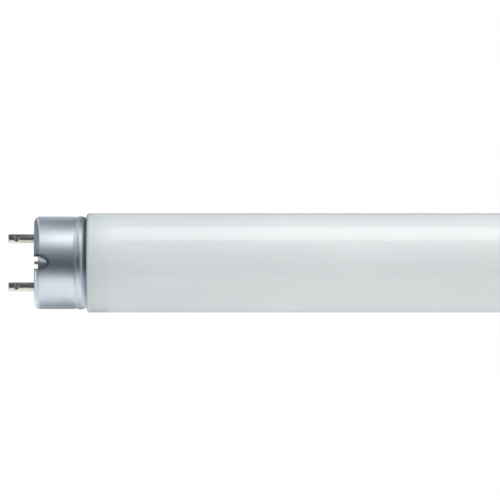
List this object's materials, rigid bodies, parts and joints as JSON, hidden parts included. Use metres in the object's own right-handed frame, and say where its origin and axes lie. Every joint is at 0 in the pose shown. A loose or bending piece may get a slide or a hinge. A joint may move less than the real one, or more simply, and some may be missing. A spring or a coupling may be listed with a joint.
{
  "type": "fluorescent tube",
  "caption": "Straight tubular fluorescent lamp: a white-coated glass tube with a drawn metal cap and round contact pins at each end.",
  "frame": {"origin": "middle of the lamp on its long axis", "axes": "+X along the lamp towards the right cap, +Z from the lower pin of a cap to its upper pin, -Y towards the side that the picture shows"},
  "size_m": [0.6028, 0.0262, 0.0262],
  "materials": {
    "coated_glass": "smooth clear glass over a white powder coating",
    "cap_metal": "bright drawn metal, satin",
    "insulating_board": "moulded, matt",
    "cap_cement": "baked, rough",
    "pin_brass": "dull, plated",
    "wire_nickel": "drawn"
  },
  "bodies": {
    "root": {"glass_tube": "coated_glass", "left_cap_shell": "cap_metal", "left_insulator": "insulating_board", "left_cement": "cap_cement", "left_pin_upper": "pin_brass", "left_lead_wire_upper": "wire_nickel", "left_pin_lower": "pin_brass", "left_lead_wire_lower": "wire_nickel", "right_cap_shell": "cap_metal", "right_insulator": "insulating_board", "right_cement": "cap_cement", "right_pin_upper": "pin_brass", "right_lead_wire_upper": "wire_nickel", "right_pin_lower": "pin_brass", "right_lead_wire_lower": "wire_nickel"}
  },
  "joints": []
}
